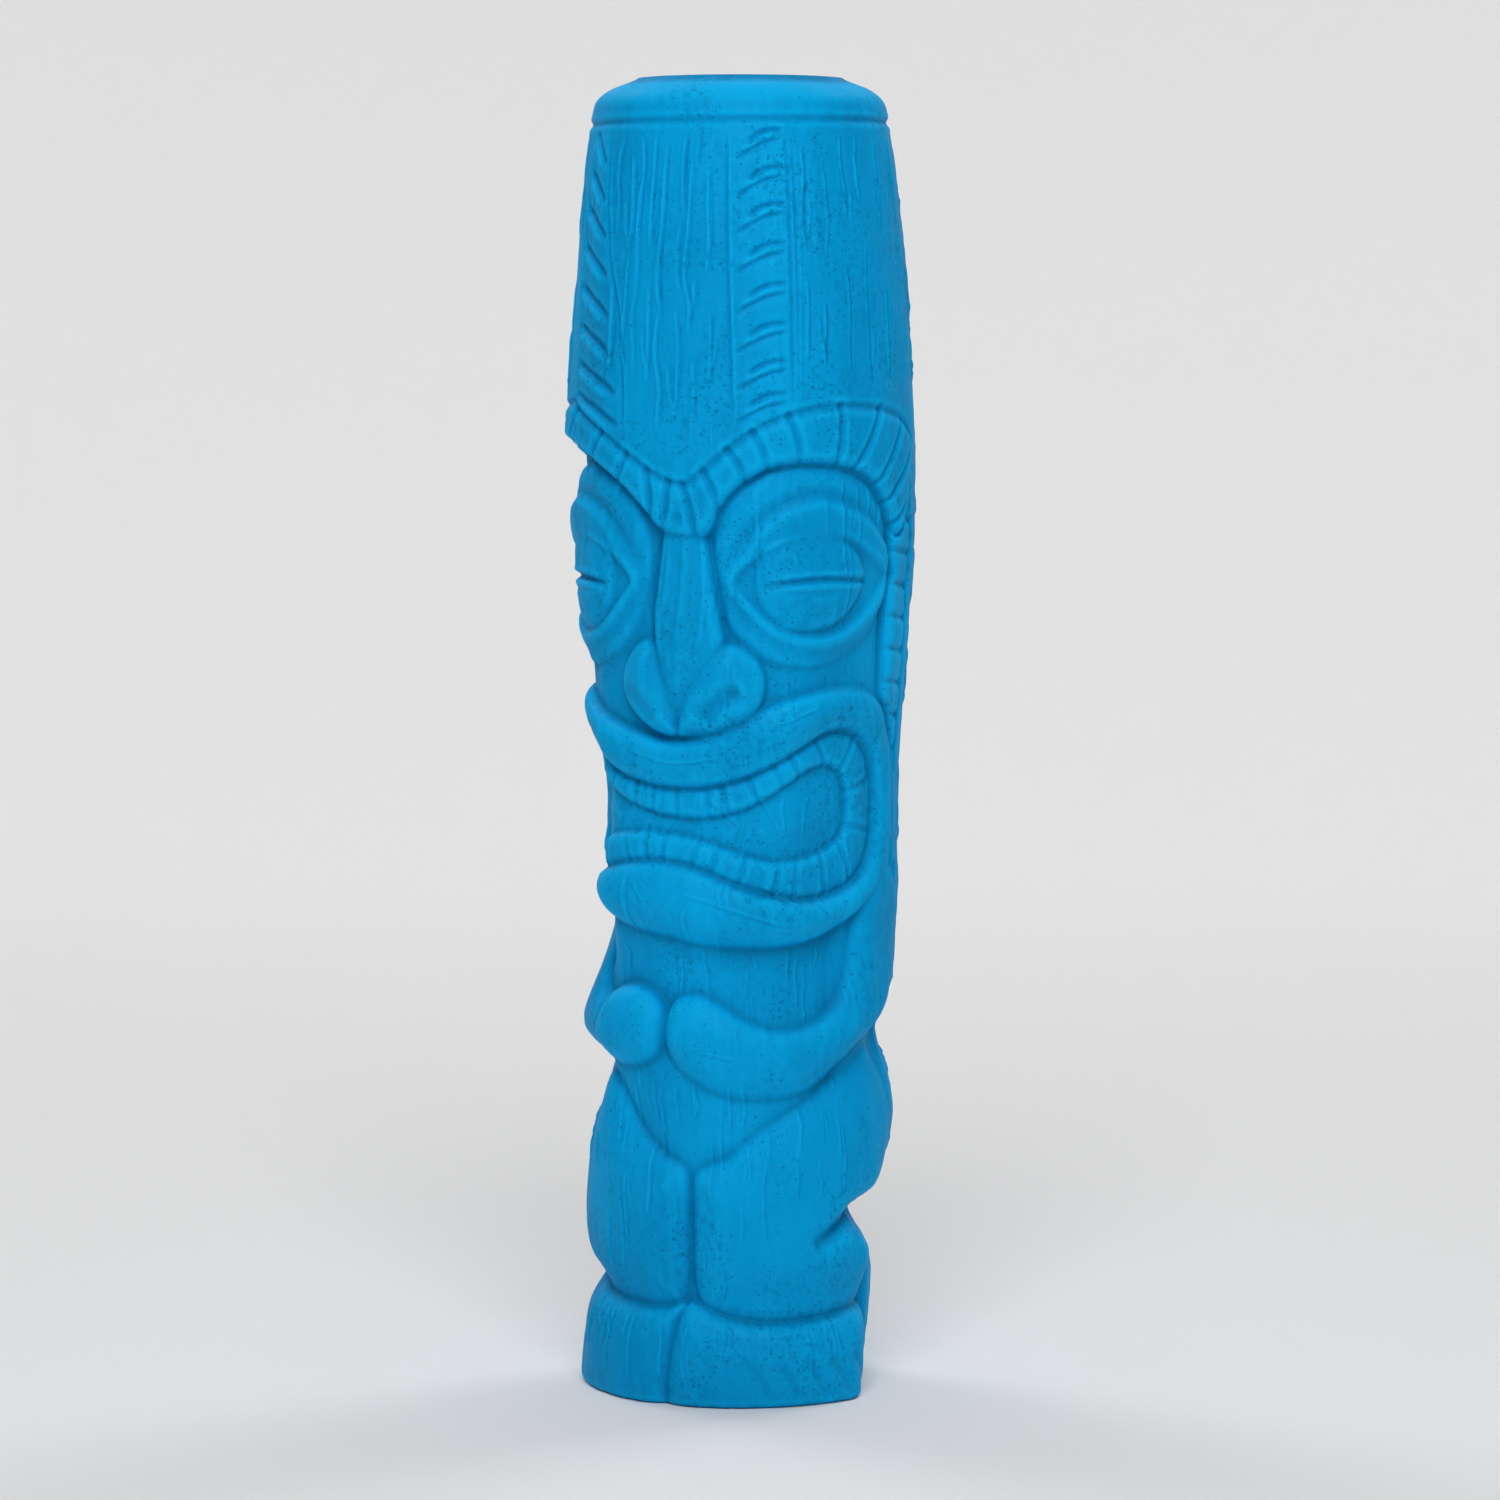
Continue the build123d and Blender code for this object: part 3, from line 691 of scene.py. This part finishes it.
def grain():
    """Wandering cracks up the headdress and the back, short scratches all over, uneven clay."""
    for azimuth in (-24, -18, -12.5, -8, -3, 4, 8, 14):
        wander(azimuth, 166 if abs(azimuth - 3) < 9 else 174, 219.5)
    for azimuth in (48, 55, 64, 74, 85, 97, 110, 122):
        wander(azimuth, 176, 219.5)
    for azimuth in [*np.arange(-175, -52, 10.5), *np.arange(132, 180, 10.5)]:
        wander(azimuth, 170, 219.5)
    for azimuth in [*np.arange(112, 180, 10), *np.arange(-180, -106, 10)]:
        wander(azimuth, 66, 166)
        wander(azimuth + 4, 36, 60)
    marks()
    for _ in range(170):
        azimuth, z = RNG.uniform(-125, 130), RNG.uniform(3, 214)
        top = z + RNG.uniform(2, 9)
        crack(azimuth, z, top, 0.42, RNG.uniform(0.06, 0.18), 0.14, 0.9)
    below_rim = 1 - ramp(Z, GROOVE_Z - 1, GROOVE_Z)
    radius[:] += (0.02 * noise(1.6, 14, 3) + 0.04 * noise(5, 22, 4)) * below_rim
    radius[:] += 0.09 * noise(12, 9, 5) + 0.035 * noise(2.2, 2.0, 6)


MARKED_AREAS = [                        # azimuths from, to, heights from, to, and how many marks
    (-32, 62, 66, 80, 12), (-34, 30, 44, 56, 10), (-62, 0, 18, 50, 9), (8, 84, 17, 52, 14),
    (-64, -6, 2, 15, 9), (2, 84, 3, 14, 9), (16, 84, 128, 160, 7), (-40, 84, 80, 92, 7),
    (-10, 60, 98, 106, 3),
]
LONG_MARKS = [
    [(4, 89.6), (18, 87.4), (38, 84)], [(-14, 91.4), (-10, 88)], [(30, 91), (46, 86.6)],
    [(-34, 90), (-27, 86.4)], [(12, 106), (24, 100.6)], [(28, 108), (38, 100)],
    [(-16, 114), (0, 112), (18, 113)], [(34, 118), (52, 121.4)], [(52, 88), (60, 84.6)],
    [(8, 62), (22, 60.6)],
]


def marks():
    """Carving marks that follow each form: down the chest, belly, legs and feet, along the jaw."""
    for low_t, high_t, low_z, high_z, count in MARKED_AREAS:
        for _ in range(count):
            azimuth = RNG.uniform(low_t, high_t)
            z = RNG.uniform(low_z, high_z - 3)
            top = min(high_z, z + RNG.uniform(5, 18))
            crack(azimuth, z, top, 0.42, RNG.uniform(0.1, 0.26), RNG.uniform(0.16, 0.36), 1.8)
    for line in LONG_MARKS:
        scratch(line, 0.45, 0.14, 0.22)


def wander(azimuth, low, high):
    """A line of cracks one above another: each starts a little to the side of the last one's end,
    and some carry a short side branch."""
    z = low + RNG.uniform(0, 6)
    while z < high - 5:
        top = min(high, z + RNG.uniform(9, 30))
        at = azimuth + RNG.uniform(-1.3, 1.3)
        width, depth = RNG.uniform(0.36, 0.52), RNG.uniform(0.16, 0.42)
        crack(at, z, top, width, depth, RNG.uniform(0.2, 0.42), RNG.uniform(1.0, 2.4))
        if RNG.uniform() < 0.5:
            side = RNG.choice([-1, 1])
            branch = [(at, z + 2), (at + side * 1.5, z + 5), (at + side * 2.1, z + 9)]
            scratch(branch, 0.45, 0.24, 0.2)
        z = top + RNG.uniform(-2, 10)


def rim():
    """The groove under the rim band."""
    line = [(-178, 0), (-90, -0.2), (0, 0), (90, 0.3), (178, 0)]
    groove([(a, GROOVE_Z + rise) for a, rise in line], 1.0, 0.5, taper=False, lift=0.14)
    owner[ZZ > GROOVE_Z - 0.5 * STEP_Z, :] = NAMES.index("rim_band")


def glaze_over(values):
    """Rounds every edge a little, as a coat of glaze does."""
    across = 0.25 * np.roll(values, 1, axis=1) + 0.5 * values + 0.25 * np.roll(values, -1, axis=1)
    padded = np.pad(across, ((1, 1), (0, 0)), mode="edge")
    return 0.25 * padded[:-2] + 0.5 * padded[1:-1] + 0.25 * padded[2:]


cut_front()
brow()
eyes()
nose()
mouth()
braids()
body()
rim()
radius = glaze_over(radius)
headdress()
grain()
plain_low = (owner == 0) & (Z < SLAB_TOP - 0.5 * STEP_Z)
owner[plain_low] = NAMES.index("base_slab")
# a small round under the edge that the mug stands on
radius -= 1.0 * (1 - dome(np.clip(Z / 1.0, 0, 1)))


# ---- pieces
# the radius of the cup's own wall behind the carving, where the pieces are seated, and of its cavity
CORE = [(0, 20.6), (72, 20.6), (165, 28.6), (180, 29.0), (190, 28.9), (222, 24.6), (TOP, 17.9)]
CAVITY = [(7, 17.2), (72, 17.2), (165, 25.6), (182, 26.1), (200, 24.9), (212, 23.2), (GROOVE_Z, 21.2)]


def in_space(r, z):
    """Points in metres for radii and heights on the grid's own azimuths."""
    a = np.radians(AZ)
    return np.stack([r * np.sin(a), -r * np.cos(a), np.broadcast_to(z, r.shape)], axis=-1) * MM


def field_normals(points):
    """Unit normals of the whole outside, so that neighbouring pieces shade as one surface."""
    east = np.roll(points, -1, axis=1) - np.roll(points, 1, axis=1)
    n = np.cross(east, np.gradient(points, axis=0))
    return n / np.linalg.norm(n, axis=-1, keepdims=True)


def hollowness():
    """How far each point lies below (-) or above (+) the surface around it, in mm."""
    def blur(values, reach):
        kernel = np.exp(-0.5 * (np.arange(-2 * reach, 2 * reach + 1) / reach) ** 2)
        kernel /= kernel.sum()
        for axis, mode in ((1, "wrap"), (0, "edge")):
            room = np.zeros((2, 2), int)
            room[axis] = 2 * reach
            values = np.apply_along_axis(np.convolve, axis, np.pad(values, room, mode=mode), kernel, "valid")
        return values

    small = radius - blur(radius, max(2, 3 // COARSE))
    carved = radius - LOG
    large = carved - blur(carved, 10 // COARSE)
    return small, large


OUTSIDE = in_space(radius, Z)
POINTS_OUT = OUTSIDE.reshape(-1, 3)
POINTS_SEAT = in_space(np.minimum(through(CORE, Z), radius - 0.8), Z).reshape(-1, 3)
NORMALS = field_normals(OUTSIDE).reshape(-1, 3)
CELL_OWNER = owner[:-1]
RELIEF = {key: field.ravel() for key, field in zip(("small_relief", "large_relief"), hollowness())}


def add_object(name, data):
    thing = bpy.data.objects.new(name, data)
    bpy.context.scene.collection.objects.link(thing)
    return thing


def mesh_object(name, points, quads, normals, relief):
    """A closed mesh with given corner normals; `relief` drives the painted shade in its creases and the
    painted highlight on its edges.
    """
    mesh = bpy.data.meshes.new(name)
    mesh.vertices.add(len(points))
    mesh.vertices.foreach_set("co", points.astype(np.float32).ravel())
    mesh.loops.add(quads.size)
    mesh.loops.foreach_set("vertex_index", quads.astype(np.int32).ravel())
    mesh.polygons.add(len(quads))
    mesh.polygons.foreach_set("loop_start", (np.arange(len(quads)) * 4).astype(np.int32))
    mesh.polygons.foreach_set("use_smooth", np.ones(len(quads), bool))
    mesh.update(calc_edges=True)
    mesh.normals_split_custom_set(normals.reshape(-1, 3))
    for key, values in relief.items():
        attribute = mesh.attributes.new(key, "FLOAT", "POINT")
        attribute.data.foreach_set("value", values.astype(np.float32))
    return add_object(name, mesh)


def cell_corners(mask):
    """The four grid points of each chosen cell, anticlockwise seen from outside."""
    r, c = np.nonzero(mask)
    c1 = (c + 1) % COLS
    return np.stack([r * COLS + c, r * COLS + c1, (r + 1) * COLS + c1, (r + 1) * COLS + c], axis=1)


def edge_walls(mask):
    """For the border of a set of cells, its edges as (from, to) grid points, cells on the left."""
    corners = cell_corners(mask)
    blank = np.zeros((1, COLS), bool)
    below, above = np.vstack([blank, mask[:-1]]), np.vstack([mask[1:], blank])
    west, east = np.roll(mask, 1, axis=1), np.roll(mask, -1, axis=1)
    walls = []
    for i, neighbour in enumerate((below, east, above, west)):
        bare = ~neighbour[mask]
        walls.append(corners[bare][:, [i, (i + 1) % 4]])
    return np.vstack(walls)


def flat_normals(points, quads):
    a, b, c, d = (points[quads[:, i]] for i in range(4))
    n = np.cross(c - a, d - b)
    n /= np.maximum(np.linalg.norm(n, axis=1, keepdims=True), 1e-12)
    return np.repeat(n[:, None, :], 4, axis=1)


def relief_piece(name):
    """A node's piece: its patch of the outside, a seat against the cup, and walls between."""
    mask = CELL_OWNER == NAMES.index(name)
    top = cell_corners(mask)
    walls = edge_walls(mask)
    used = np.unique(top)
    slot = np.full(ROWS * COLS, -1)
    slot[used] = np.arange(len(used))
    count = len(used)
    points = np.vstack([POINTS_OUT[used], POINTS_SEAT[used]])
    outer = slot[top]
    inner = outer[:, ::-1] + count
    a, b = slot[walls[:, 0]], slot[walls[:, 1]]
    sides = np.stack([b, a, a + count, b + count], axis=1)
    quads = np.vstack([outer, inner, sides])
    normals = np.concatenate([NORMALS[top], -NORMALS[top][:, ::-1], flat_normals(points, sides)])
    relief = {k: np.concatenate([v[used], np.full(count, -1.0)]) for k, v in RELIEF.items()}
    return mesh_object(name + "_carved", points, quads, normals, relief)


def round_piece(name, low, high, inside):
    """A piece that goes all the way round between two rows: its outside, then a line of rings
    (radius, z) from its top edge over the inside and underneath, back to its bottom edge."""
    rows = np.arange(ROWS - 1)
    span = ((rows >= low) & (rows < high))[:, None]
    own = (CELL_OWNER == NAMES.index(name)) & span
    grid = ROWS * COLS
    rings = [in_space(np.full(COLS, r), z) for r, z in inside]
    points = np.vstack([POINTS_OUT, POINTS_SEAT] + rings)
    top = cell_corners(own)
    quads, normals = [top], [NORMALS[top]]
    seat = span & ~own
    if seat.any():
        under = cell_corners(seat) + grid
        walls = edge_walls(seat)
        level = np.abs(walls[:, 0] - walls[:, 1]) == COLS
        inner_edge = (walls[:, 0] >= (low + 1) * COLS) & (walls[:, 0] < high * COLS)
        a, b = walls[level | inner_edge].T
        for faces in (under, np.stack([a, b, b + grid, a + grid], axis=1)):
            quads.append(faces)
            normals.append(flat_normals(points, faces))
    c = np.arange(COLS)
    c1 = (c + 1) % COLS

    def edge_ring(row, cell_row):
        """The piece's own edge, on its outside or on the seat of a neighbour."""
        return [row * COLS + k + np.where(own[cell_row], 0, grid) for k in (c, c1)]

    edges = [edge_ring(high, high - 1)]
    edges += [(start + c, start + c1) for start in range(2 * grid, len(points), COLS)]
    edges.append(edge_ring(low, low))
    turned = np.vstack([np.stack([a[0], a[1], b[1], b[0]], axis=1) for a, b in zip(edges, edges[1:])])
    normals.append(ring_normals(points, turned))
    used, quads = np.unique(np.vstack(quads + [turned]), return_inverse=True)
    relief = {key: np.append(values, np.zeros(len(points) - grid))[used] for key, values in RELIEF.items()}
    return mesh_object(name + "_turned", points[used], quads.reshape(-1, 4), np.concatenate(normals), relief)


def ring_normals(points, quads):
    """Smooth normals over the turned inside: each ring's from the faces on both its sides."""
    flat = flat_normals(points, quads)[:, 0].reshape(-1, COLS, 3)
    flat = (flat + np.roll(flat, 1, axis=1)) / 2
    corner = np.empty((len(flat), COLS, 4, 3))
    soft_before, soft_after = flat.copy(), flat.copy()
    for i in range(1, len(flat)):
        bend = np.sum(flat[i] * flat[i - 1], axis=-1, keepdims=True)
        shared = np.where(bend > 0.6, flat[i] + flat[i - 1], flat[i])
        soft_before[i] = shared
        soft_after[i - 1] = np.where(bend > 0.6, shared, flat[i - 1])
    corner[:, :, 0], corner[:, :, 3] = soft_before, soft_after
    corner[:, :, 1], corner[:, :, 2] = np.roll(soft_before, -1, axis=1), np.roll(soft_after, -1, axis=1)
    corner /= np.maximum(np.linalg.norm(corner, axis=-1, keepdims=True), 1e-9)
    return corner.reshape(-1, 4, 3)


def build():
    """Every node's visible piece, by the node's name."""
    made = {name: relief_piece(name) for name in NAMES[3:]}
    wall = [(through(CAVITY, z), z) for z in np.arange(ZZ[GROOVE_ROW], 12, -6.0)]
    corner = [(17.2, 11), (17.1, 9.8), (16.6, 8.6), (15.8, 7.8), (14.6, 7.2), (13.4, ZZ[SLAB_ROW])]
    made["cup_wall"] = round_piece("cup_wall", SLAB_ROW, GROOVE_ROW, wall + corner)
    lip = [(17.9, 0.05), (17.7, 0.25), (17.6, 0.6), (17.6, 1.1), (17.65, 2.4), (18.3, 4), (19.8, 6)]
    lip = [(r, TOP - drop) for r, drop in lip] + [(21.2, ZZ[GROOVE_ROW])]
    made["rim_band"] = round_piece("rim_band", GROOVE_ROW, ROWS - 1, lip)
    centre = 0.01
    underside = [(centre, ZZ[SLAB_ROW]), (centre, 1.0), (14.6, 1.0), (15.0, 0.7), (15.3, 0.15), (15.7, 0)]
    underside.append((18.9, 0))
    made["base_slab"] = round_piece("base_slab", 0, SLAB_ROW, underside)
    return made


SLAB_ROW = int(round(SLAB_TOP / (ZZ[1] - ZZ[0])))
GROOVE_ROW = int(round(GROOVE_Z / (ZZ[1] - ZZ[0])))
PIECES = build()


# ---- materials
def glaze(name, deep, mid, bright, ridge_highlight, pits):
    """Satin glaze over cast wood grain, with painted shade in its creases and grooves and a painted
    highlight on its raised edges. A larger `pits` has more pinholes."""
    material = bpy.data.materials.new(name)
    material.use_nodes = True
    nodes, links = material.node_tree.nodes, material.node_tree.links
    nodes.clear()

    def add(kind):
        return nodes.new("ShaderNode" + kind)

    output = add("OutputMaterial")
    shader = add("BsdfPrincipled")
    shader.inputs["Specular IOR Level"].default_value = 0.03
    links.new(shader.outputs[0], output.inputs[0])
    where = add("TexCoord").outputs["Object"]

    def feed(socket, source):
        """A socket takes a link, a colour or a number."""
        if isinstance(source, bpy.types.NodeSocket):
            links.new(source, socket)
        else:
            socket.default_value = (*source, 1) if isinstance(source, tuple) else source

    def upright(squash):
        """The object's own coordinates, squashed along its height so that a pattern runs up it."""
        mapping = add("Mapping")
        mapping.inputs["Scale"].default_value = (1, 1, squash)
        links.new(where, mapping.inputs["Vector"])
        return mapping.outputs[0]

    def noise_node(squash, scale, detail):
        n = add("TexNoise")
        n.inputs["Scale"].default_value = scale
        n.inputs["Detail"].default_value = detail
        n.inputs["Roughness"].default_value = 0.55
        links.new(upright(squash), n.inputs["Vector"])
        return n.outputs["Fac"]

    def spread(value, low, high, to_low=0.0, to_high=1.0):
        n = add("MapRange")
        links.new(value, n.inputs[0])
        for socket, level in zip(n.inputs[1:5], (low, high, to_low, to_high)):
            socket.default_value = level
        return n.outputs[0]

    def mix(factor, a, b):
        n = add("Mix")
        n.data_type = "RGBA"
        links.new(factor, n.inputs["Factor"])
        feed(n.inputs[6], a)
        feed(n.inputs[7], b)
        return n.outputs[2]

    def maths(kind, a, b):
        n = add("Math")
        n.operation = kind
        feed(n.inputs[0], a)
        feed(n.inputs[1], b)
        return n.outputs[0]

    def times(a, b):
        return maths("MULTIPLY", a, b)

    def stored(key):
        n = add("Attribute")
        n.attribute_name = key
        return n.outputs["Fac"]

    # painted shade: the glaze is darkened towards `deep` in the large creases and in the thin grooves
    crease = spread(stored("large_relief"), -0.1, -1.8)
    line = spread(stored("small_relief"), -0.03, -0.40)
    # painted highlight: raised edges and ridges are lightened towards this colour, as where they catch the
    # light
    edge = spread(stored("small_relief"), 0.03, 0.2)
    cloud = noise_node(0.35, 55, 4)
    streak = noise_node(0.06, 900, 3)
    base = mix(spread(cloud, 0.3, 0.7), mid, bright)
    base = mix(times(spread(streak, 0.55, 0.75), 0.25), base, bright)
    base = mix(times(crease, 0.42), base, deep)
    base = mix(times(line, 0.36), base, deep)
    base = mix(times(edge, 0.55), base, ridge_highlight)
    # painted shade: darker towards the foot, where less of the light from above falls
    height_of = add("SeparateXYZ")
    links.new(where, height_of.inputs[0])
    base = mix(times(spread(height_of.outputs[2], 0.05, 0.0), 0.22), base, deep)
    # pinholes of all sizes up to half a millimetre, crowded in some places and absent in others
    crowd = noise_node(0.8, 70, 2)
    hole = None
    for scale, most in ((800, 0.26), (1500, 0.34)):
        cells = add("TexVoronoi")
        cells.inputs["Scale"].default_value = scale
        links.new(where, cells.inputs["Vector"])
        chance = add("SeparateColor")
        links.new(cells.outputs["Color"], chance.inputs[0])
        crowding = maths("ADD", chance.outputs[0], times(crowd, 0.9))
        size = spread(crowding, 1.0, 1.5, 0.0, most * pits)
        one = spread(maths("SUBTRACT", size, cells.outputs["Distance"]), 0.0, 0.12)
        hole = one if hole is None else maths("MAXIMUM", hole, one)
    base = mix(times(hole, 0.4), base, deep)
    blot = spread(noise_node(1, 900, 3), 0.5, 0.66)
    blot = times(blot, spread(crowd, 0.42, 0.62))
    base = mix(times(blot, 0.32), base, deep)
    links.new(base, shader.inputs["Base Color"])
    sheen = noise_node(0.5, 240, 3)
    links.new(spread(sheen, 0.3, 0.7, 0.46, 0.62), shader.inputs["Roughness"])
    fine_grain = noise_node(1, 1400, 3)
    height = maths("ADD", times(streak, 0.35), times(fine_grain, 0.25))
    height = maths("SUBTRACT", height, times(hole, 0.9))
    bump = add("Bump")
    bump.inputs["Distance"].default_value = 0.00022
    bump.inputs["Strength"].default_value = 0.8
    links.new(height, bump.inputs["Height"])
    links.new(bump.outputs[0], shader.inputs["Normal"])
    return material


BLUE = glaze(
    "blue_glaze_satin", deep=(0.0005, 0.12, 0.28), mid=(0.0006, 0.30, 0.65), bright=(0.0012, 0.42, 0.86),
    ridge_highlight=(0.003, 0.50, 0.96), pits=1.0,
)
CLAY = glaze(
    "stained_bare_clay", deep=(0.004, 0.11, 0.24), mid=(0.008, 0.25, 0.50), bright=(0.02, 0.36, 0.66),
    ridge_highlight=(0.04, 0.42, 0.72), pits=1.4,
)
for name, piece in PIECES.items():
    piece.data.materials.append(CLAY if name == "base_slab" else BLUE)
    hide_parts(name)
    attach(piece, "root")


# ---- the stage
def stage():
    """A pale floor that sweeps up behind the mug, square to the camera."""
    half, back, bend = 3.0, 1.6, 0.8
    line = [(-4.0, 0.0), (back - bend, 0.0)]
    line += [(back - bend + bend * math.sin(a), bend - bend * math.cos(a))
             for a in np.radians(np.arange(7.5, 91, 7.5))]
    line.append((back, 3.5))
    sin, cos = math.sin(VIEW_TURN), math.cos(VIEW_TURN)
    points = [(x * cos - y * sin, x * sin + y * cos, z) for y, z in line for x in (-half, half)]
    faces = [(i, i + 1, i + 3, i + 2) for i in range(0, 2 * len(line) - 2, 2)]
    mesh = bpy.data.meshes.new("floor")
    mesh.from_pydata(points, [], faces)
    mesh.shade_smooth()
    paint = bpy.data.materials.new("pale_floor")
    paint.use_nodes = True
    shader = paint.node_tree.nodes["Principled BSDF"]
    shader.inputs["Base Color"].default_value = (0.86, 0.86, 0.86, 1)
    shader.inputs["Roughness"].default_value = 0.9
    mesh.materials.append(paint)
    add_object("floor", mesh)


def look_at(thing, target):
    thing.rotation_euler = (target - thing.location).to_track_quat("-Z", "Y").to_euler()


def light(name, azimuth, elevation, distance, size, power, aim):
    """A square soft light that looks at `aim`, from an azimuth and elevation in degrees."""
    lamp = bpy.data.lights.new(name, "AREA")
    lamp.shape = "SQUARE"
    lamp.size = size
    lamp.energy = power
    a, e = math.radians(azimuth), math.radians(elevation)
    out = Vector((math.sin(a) * math.cos(e), -math.cos(a) * math.cos(e), math.sin(e)))
    thing = add_object(name, lamp)
    thing.location = out * distance + Vector(aim)
    look_at(thing, Vector(aim))


def camera():
    """The photograph's view: a little above, from four times the mug's height away."""
    lens = bpy.data.cameras.new("camera")
    lens.sensor_width = 36
    lens.lens = 125.4
    thing = add_object("camera", lens)
    out = Vector((math.sin(VIEW_TURN), -math.cos(VIEW_TURN), 0))
    right = Vector((math.cos(VIEW_TURN), math.sin(VIEW_TURN), 0))
    thing.location = out * 0.92 + Vector((0, 0, 0.188))
    look_at(thing, right * 0.00176 + Vector((0, 0, 0.1123)))
    bpy.context.scene.camera = thing


def world():
    sky = bpy.data.worlds.new("studio")
    sky.use_nodes = True
    inputs = sky.node_tree.nodes["Background"].inputs
    inputs["Color"].default_value = (1, 1, 1, 1)
    inputs["Strength"].default_value = 0.22
    bpy.context.scene.world = sky


stage()
world()
light("key", 24, 41, 0.95, 0.5, 5.25, aim=(0, 0, 0.185))
light("backdrop_left", -35, 50, 1.5, 0.8, 12, aim=(-0.9, 1.4, 0.6))
light("backdrop_right", 80, 50, 1.5, 0.8, 12, aim=(-0.4, 1.5, 0.6))
camera()
bpy.context.scene.view_settings.view_transform = "Standard"
